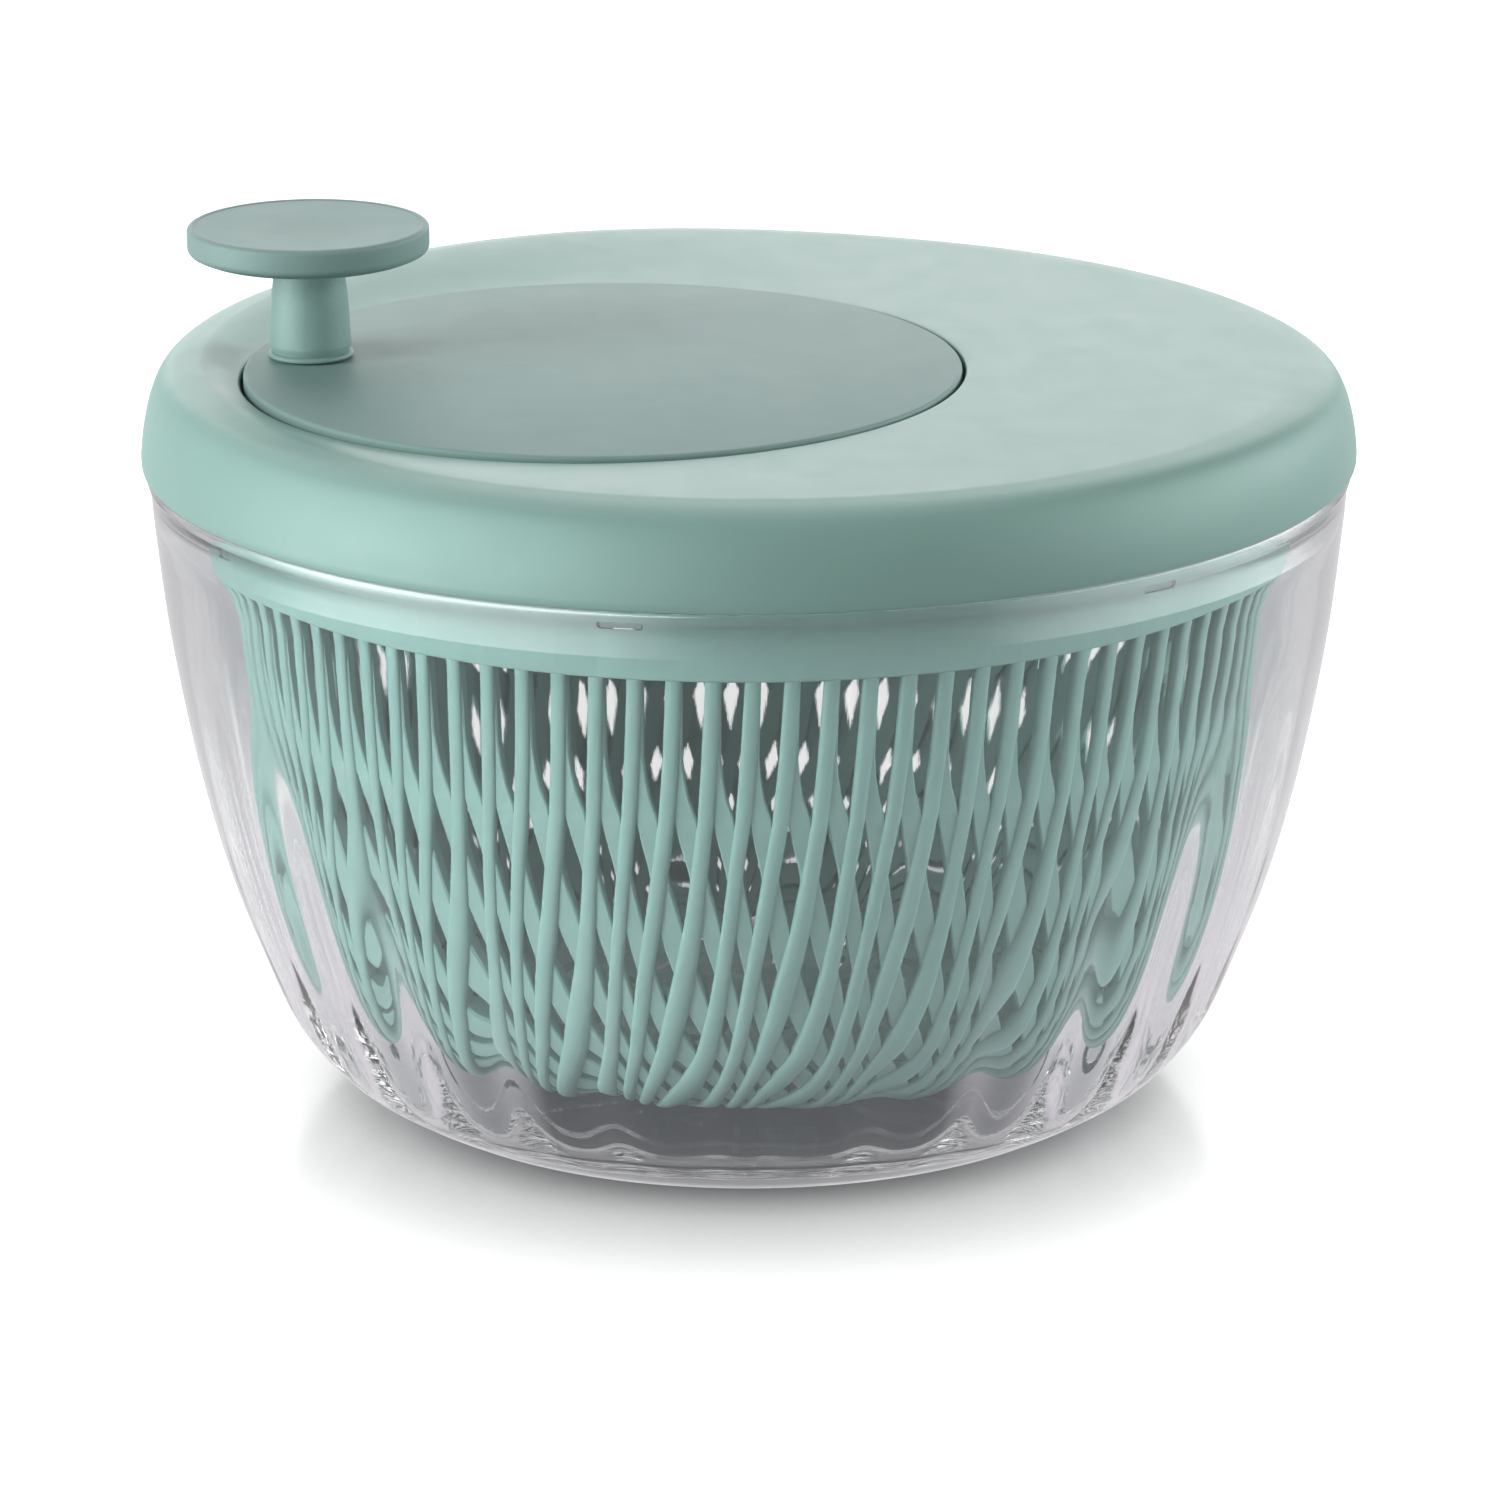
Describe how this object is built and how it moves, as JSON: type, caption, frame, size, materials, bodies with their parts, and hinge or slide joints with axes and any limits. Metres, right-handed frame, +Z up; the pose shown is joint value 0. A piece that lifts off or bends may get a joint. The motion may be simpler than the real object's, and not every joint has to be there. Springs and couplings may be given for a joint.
{
  "type": "salad spinner",
  "caption": "Salad spinner with a clear bowl, lattice basket and a lid whose off-centre geared disc is turned by a mushroom knob.",
  "frame": {"origin": "centre of the bowl's foot ring on the surface it stands on", "axes": "+Z up along the bowl and basket axis; the crank disc's axis is offset towards -X"},
  "size_m": [0.28, 0.28, 0.204],
  "materials": {
    "clear_plastic": "polished clear moulding",
    "mint_lid": "satin",
    "mint_crank": "fine matte grain",
    "mint_basket": "satin",
    "white_plastic": "satin moulding",
    "steel": "stainless",
    "bearing_brass": "machined"
  },
  "bodies": {
    "bowl": {"bowl": "clear_plastic"},
    "pivot": {"pivot_bush": "white_plastic"},
    "basket": {"basket": "mint_basket"},
    "lid": {"lid_shell": "mint_lid", "gear_housing": "white_plastic", "housing_screw_1": "steel", "housing_screw_2": "steel", "housing_screw_3": "steel", "housing_screw_4": "steel", "housing_screw_5": "steel", "housing_screw_6": "steel", "pinion_bush": "bearing_brass"},
    "crank": {"crank_disc": "mint_crank", "ring_gear": "white_plastic", "ring_screw_1": "steel", "ring_screw_2": "steel", "ring_screw_3": "steel", "ring_screw_4": "steel", "crank_washer": "steel", "crank_screw": "steel", "knob_pin": "steel", "knob_clip": "steel"},
    "knob": {"knob_stem": "mint_crank", "knob_cap": "mint_crank"},
    "drive": {"pinion": "white_plastic", "pinion_shaft": "steel", "shaft_clip": "steel", "drive_plate": "mint_crank", "drive_washer": "steel", "drive_screw": "steel"}
  },
  "joints": [
    {"name": "lid_lift", "type": "slide", "parent": "bowl", "child": "lid", "axis": [0, 0, 1], "range_m": [0, 0.38]},
    {"name": "basket_lift", "type": "slide", "parent": "bowl", "child": "pivot", "axis": [0, 0, 1], "range_m": [0, 0.171]},
    {"name": "basket_spin", "type": "hinge", "parent": "pivot", "child": "basket", "pos_m": [0, 0, 0.02], "axis": [0, 0, 1], "continuous": true},
    {"name": "crank_spin", "type": "hinge", "parent": "lid", "child": "crank", "pos_m": [-0.0348, 0, 0.17], "axis": [0, 0, 1], "continuous": true},
    {"name": "pinion_spin", "type": "hinge", "parent": "lid", "child": "drive", "pos_m": [0, 0, 0.165], "axis": [0, 0, 1], "continuous": true},
    {"name": "knob_spin", "type": "hinge", "parent": "crank", "child": "knob", "pos_m": [-0.09652, 0.02878, 0.185], "axis": [0, 0, 1], "continuous": true}
  ],
  "couplings": [
    {"joint": "basket_lift", "follows": "lid_lift", "ratio": 0.45},
    {"joint": "basket_spin", "follows": "crank_spin", "ratio": 4},
    {"joint": "pinion_spin", "follows": "crank_spin", "ratio": 4}
  ]
}
